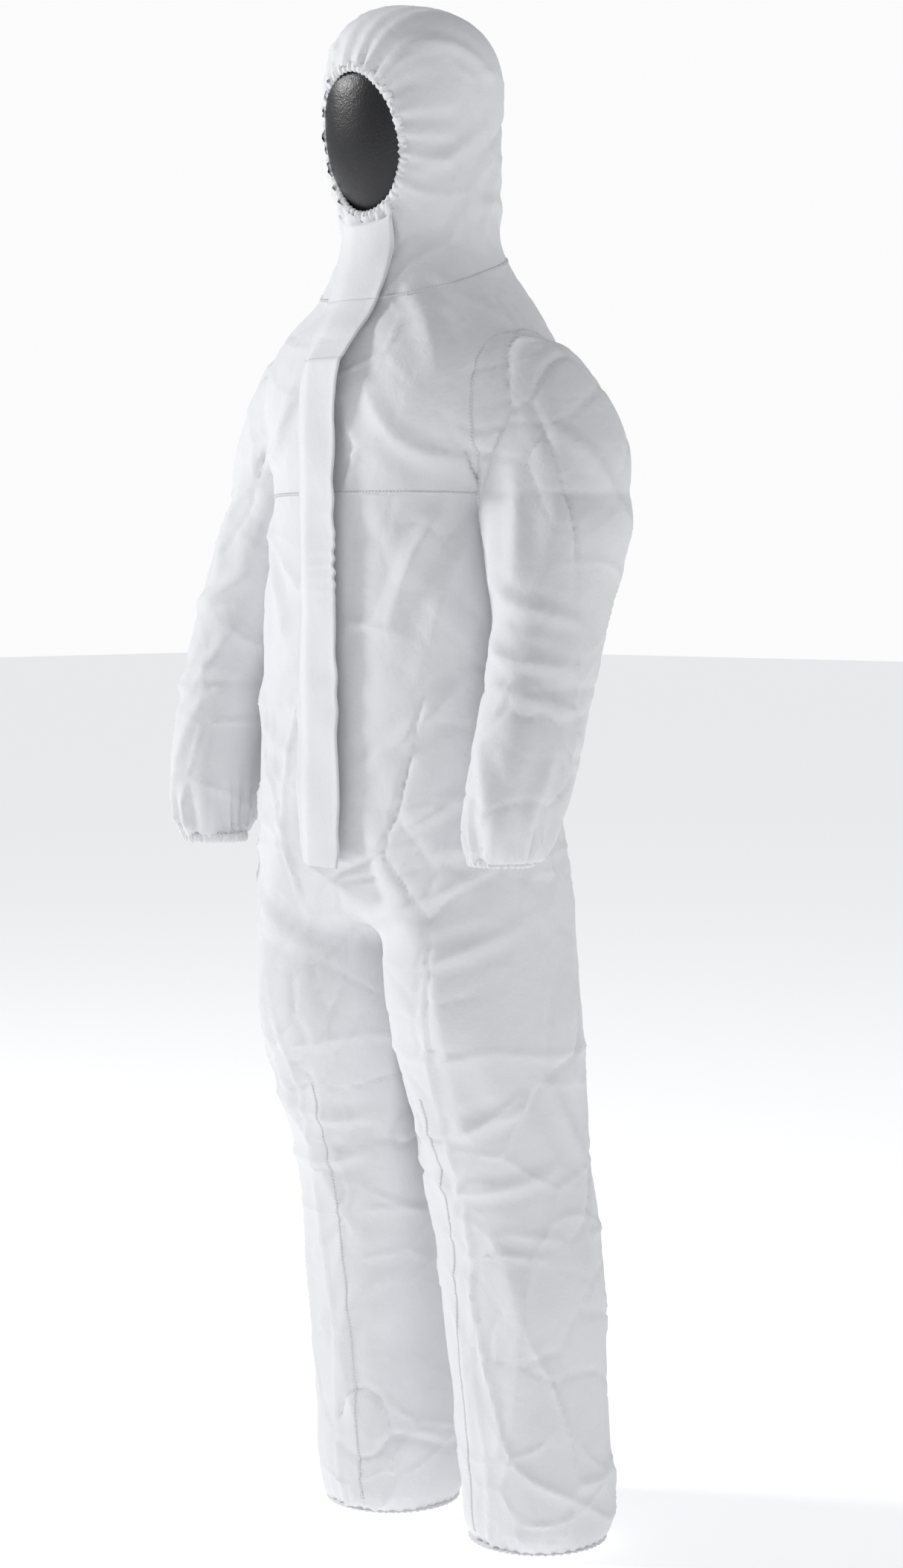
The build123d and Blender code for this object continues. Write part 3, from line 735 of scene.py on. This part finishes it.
def strip(name, low, high, rows, stand, mat, folds=0.0, start_y=None):
    """A two-sided cloth strip from the sewn edge to the free edge, standing off the garment."""
    across = 16
    line = []
    for i in range(rows + 1):
        z = low + (high - low) * i / rows
        wide = flap_edge_x(z) - RIGHT_EDGE
        ys = [front_y(RIGHT_EDGE + wide * j / across, z) for j in range(across + 1)]
        line.append(ys)
    line = np.array(line)
    for _ in range(10):
        line[1:-1] = (line[:-2] + 2 * line[1:-1] + line[2:]) / 4
        line[:, 1:-1] = (line[:, :-2] + 2 * line[:, 1:-1] + line[:, 2:]) / 4
    verts, faces = [], []
    for back in (0, 1):
        for i in range(rows + 1):
            z = low + (high - low) * i / rows
            for j in range(across + 1):
                t = j / across
                x = RIGHT_EDGE + (flap_edge_x(z) - RIGHT_EDGE) * t
                wave = (0.0012 * math.sin(z * 95 + 2 * math.sin(z * 31)) * t * t
                        + 0.0008 * math.sin(z * 43 + t * 5))
                pucker = folds * 0.002 * math.exp(-((z - 1.155) / 0.03) ** 2) * math.sin(z * 420) * t * t
                hem = 0.0006 if (t > 0.93 or t < 0.07) else 0.0
                off = stand - 0.0066 * smooth((z - 1.388) / 0.07)
                sewn = line[i][j] - 0.0018
                cover = FLAP_FRONT + 0.8 * max(0.0, z - MAIN_TOP + 0.004)
                y = sewn + min(-off, cover - sewn) * smooth(t * 2.5) - wave - pucker - hem
                verts.append((x, float(y) + back * 0.0011, z))
    size = (rows + 1) * (across + 1)
    def at(back, i, j):
        return back * size + i * (across + 1) + j
    for i in range(rows):
        for j in range(across):
            faces.append([at(0, i, j), at(0, i, j + 1), at(0, i + 1, j + 1), at(0, i + 1, j)])
            faces.append([at(1, i, j), at(1, i + 1, j), at(1, i + 1, j + 1), at(1, i, j + 1)])
    for i in range(rows):
        faces.append([at(0, i, 0), at(0, i + 1, 0), at(1, i + 1, 0), at(1, i, 0)])
        faces.append([at(0, i, across), at(1, i, across), at(1, i + 1, across), at(0, i + 1, across)])
    for j in range(across):
        faces.append([at(0, 0, j), at(1, 0, j), at(1, 0, j + 1), at(0, 0, j + 1)])
        faces.append([at(0, rows, j), at(0, rows, j + 1), at(1, rows, j + 1), at(1, rows, j)])
    return build(name, verts, faces, mat)


flap = strip("storm_flap_cloth", 0.812, MAIN_TOP, 260, 0.0130, NONWOVEN, 1.0)
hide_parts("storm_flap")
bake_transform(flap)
collar = strip("collar_flap_cloth", MAIN_TOP, 1.458, 40, 0.0130, NONWOVEN)
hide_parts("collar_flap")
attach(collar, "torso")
chin = strip("chin_flap_cloth", 1.458, FACE_Z - FACE_HZ * 0.93, 50, 0.0130, NONWOVEN)
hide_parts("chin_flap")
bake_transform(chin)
for name, mat in (("flap_adhesive", GLUE), ("flap_liner", PAPER)):
    NODES[name].data.materials.clear()
    NODES[name].data.materials.append(mat)

# ---- overlocked seams: a raised ridge with slanted stitches ----
def plane_line(point, normal, keep):
    """Ordered points where the garment meets a plane, for the part keep(point) picks."""
    b = seam_source.copy()
    faces = [f for f in b.faces if keep(f.calc_center_median())]
    geom = set(faces)
    for f in faces:
        geom.update(f.edges)
        geom.update(f.verts)
    out = bmesh.ops.bisect_plane(b, geom=list(geom), plane_co=point, plane_no=normal, dist=1e-6)
    edges = [e for e in out["geom_cut"] if isinstance(e, bmesh.types.BMEdge)]
    links = {}
    for e in edges:
        for v in e.verts:
            links.setdefault(v, []).append(e)
    lines, left = [], set(edges)
    while left:
        ends = [v for v, es in links.items() if sum(e in left for e in es) == 1]
        v = min(ends, key=lambda q: (q.co.x, q.co.y, q.co.z)) if ends else next(iter(left)).verts[0]
        run = [v]
        while True:
            step = [e for e in links[v] if e in left]
            if not step:
                break
            left.discard(step[0])
            v = step[0].other_vert(v)
            run.append(v)
        if len(run) > 6:
            lines.append([(q.co.copy(), q.normal.copy()) for q in run])
    b.free()
    return lines


def stitched(name, lines, mat, pitch=0.0042):
    """A seam ridge with a slanted stitch every pitch along each line."""
    verts, faces = [], []

    def box_at(c, along, over, out, half_l, half_w, half_h):
        base = len(verts)
        for dl, dw, dh in ((-1, -1, 0), (1, -1, 0), (1, 1, 0), (-1, 1, 0),
                           (-.7, -.5, 1), (.7, -.5, 1), (.7, .5, 1), (-.7, .5, 1)):
            verts.append(c + along * dl * half_l + over * dw * half_w + out * (dh * half_h - 0.0003))
        for f in ((0, 1, 5, 4), (1, 2, 6, 5), (2, 3, 7, 6), (3, 0, 4, 7), (4, 5, 6, 7)):
            faces.append([base + q for q in f])

    for line in lines:
        pos = [p for p, _ in line]
        nor = [n for _, n in line]
        total = [0.0]
        for a, b in zip(pos, pos[1:]):
            total.append(total[-1] + (b - a).length)
        base = None
        count = max(2, int(total[-1] / pitch))
        k = 0
        prev = None
        for i in range(count + 1):
            d = total[-1] * i / count
            while k < len(total) - 2 and total[k + 1] < d:
                k += 1
            f = (d - total[k]) / max(1e-9, total[k + 1] - total[k])
            p = pos[k].lerp(pos[k + 1], f)
            n = nor[k].lerp(nor[k + 1], f).normalized()
            t = (pos[k + 1] - pos[k]).normalized()
            w = n.cross(t).normalized()
            ring = [p + w * math.cos(q) * 0.0013 + n * (math.sin(q) * 0.0010)
                    for q in (0, 0.79, 1.57, 2.36, 3.14)]
            here = len(verts)
            verts.extend(ring)
            if prev is not None:
                for j in range(4):
                    faces.append([prev + j, prev + j + 1, here + j + 1, here + j])
            prev = here
            slant = (w + t * 0.5).normalized()
            box_at(p, slant, n.cross(slant).normalized(), n, 0.0026, 0.0004, 0.0014)
    return build(name, verts, faces, mat)


trunk_only = lambda c: abs(c.x) < ARM_CUT_X
for part, test in (("front", lambda c: c.y < -0.008), ("back", lambda c: c.y >= -0.008)):
    line = plane_line(
        Vector((0, 0, CHEST_SEAM)), Vector((0, 0.02, 1)),
        lambda c, t=test: trunk_only(c) and t(c) and 1.2 < c.z < 1.27)
    seam = stitched(f"chest_seam_{part}", line, THREAD)
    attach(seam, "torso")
neck_line = plane_line(NECK - NECK_UP * 0.0179, NECK_UP, lambda c: c.z > 1.43 and abs(c.x) < 0.13)
neck_seam = stitched("neck_seam", neck_line, THREAD)
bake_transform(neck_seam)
for s, k in (("left", 1), ("right", -1)):
    arm_line = plane_line(
        Vector((k * 0.1645, 0, 0)), Vector((k, 0, 0)), lambda c, k=k: c.x * k > 0.14 and c.z > 1.19)
    o = stitched(s + "_armhole_seam", arm_line, THREAD)
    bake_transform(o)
    leg_line = plane_line(
        Vector((k * (ANKLE.x - 0.03), 0, 0)), Vector((k, 0, 0)),
        lambda c, k=k: c.x * k > 0.0 and 0.02 < c.z < THIGH_CUT_Z - 0.003 and c.y < 0.06)
    o = stitched(s + "_inseam", [q for q in leg_line], THREAD)
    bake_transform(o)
seam_source.free()

# the waist elastic lies just inside the back
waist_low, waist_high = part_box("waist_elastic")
verts, faces = [], []
rows, cols = 4, 160
for i in range(rows + 1):
    z = waist_low[2] + (waist_high[2] - waist_low[2]) * i / rows
    for j in range(cols + 1):
        a = math.radians(12 + 156 * j / cols)
        way = Vector((math.cos(a), math.sin(a), 0))
        hit = whole.ray_cast(Vector((0, -0.02, z)), way)
        r = ((hit[0] - Vector((0, -0.02, z))).length if hit[0] is not None else 0.14) - 0.0035
        verts.append(Vector((0, -0.02, z)) + way * (r - 0.001 * math.sin(j * 1.3)))
for i in range(rows):
    for j in range(cols):
        n = cols + 1
        faces.append([i * n + j, i * n + j + 1, (i + 1) * n + j + 1, (i + 1) * n + j])
waist = build("waist_gather", verts, faces, RIM)
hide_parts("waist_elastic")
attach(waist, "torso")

# ---- floor, light and camera ----
bpy.ops.mesh.primitive_plane_add(size=60, location=(0, 0, -0.001))
floor = bpy.context.object
floor.name = "floor"
plain = bpy.data.materials.new("floor")
plain.use_nodes = True
plain.node_tree.nodes["Principled BSDF"].inputs["Base Color"].default_value = (0.95, 0.95, 0.96, 1)
plain.node_tree.nodes["Principled BSDF"].inputs["Emission Color"].default_value = (1, 1, 1, 1)
plain.node_tree.nodes["Principled BSDF"].inputs["Emission Strength"].default_value = 0.50
plain.node_tree.nodes["Principled BSDF"].inputs["Roughness"].default_value = 0.9
floor.data.materials.append(plain)

world = bpy.data.worlds.new("studio")
world.use_nodes = True
wn, wl = world.node_tree.nodes, world.node_tree.links
soft = wn["Background"]
soft.inputs["Color"].default_value = (0.93, 0.95, 1.0, 1)
soft.inputs["Strength"].default_value = 0.35
clear = wn.new("ShaderNodeBackground")
clear.inputs["Color"].default_value = (1, 1, 1, 1)
clear.inputs["Strength"].default_value = 0.97
pick = wn.new("ShaderNodeMixShader")
wl.new(wn.new("ShaderNodeLightPath").outputs["Is Camera Ray"], pick.inputs[0])
wl.new(soft.outputs[0], pick.inputs[1])
wl.new(clear.outputs[0], pick.inputs[2])
wl.new(pick.outputs[0], wn["World Output"].inputs["Surface"])
bpy.context.scene.world = world


def light(name, where, target, size, power, color=(1, 1, 1)):
    data = bpy.data.lights.new(name, "AREA")
    data.size = size
    data.energy = power
    data.color = color
    o = bpy.data.objects.new(name, data)
    o.location = where
    o.rotation_euler = (Vector(target) - Vector(where)).to_track_quat("-Z", "Y").to_euler()
    bpy.context.scene.collection.objects.link(o)


light("key", (-3.2, -2.2, 3.4), (0, 0, 1.0), 0.8, 106)
light("fill", (3.6, -2.4, 1.4), (0, 0, 0.9), 2.4, 6)
light("back", (2.6, 2.8, 3.0), (0, 0, 1.1), 1.2, 22)

camera_data = bpy.data.cameras.new("camera")
camera = bpy.data.objects.new("camera", camera_data)
aim = Vector((0.030, 0.026, 0.899))
turned = math.radians(43)
away = 3.60
camera.location = aim + Vector((away * math.sin(turned), -away * math.cos(turned), 0.25))
camera.rotation_euler = (aim - camera.location).to_track_quat("-Z", "Y").to_euler()
camera_data.sensor_fit = "VERTICAL"
camera_data.angle = 2 * math.atan(0.923 / away)
bpy.context.scene.collection.objects.link(camera)
bpy.context.scene.camera = camera
bpy.context.scene.view_settings.view_transform = "Standard"
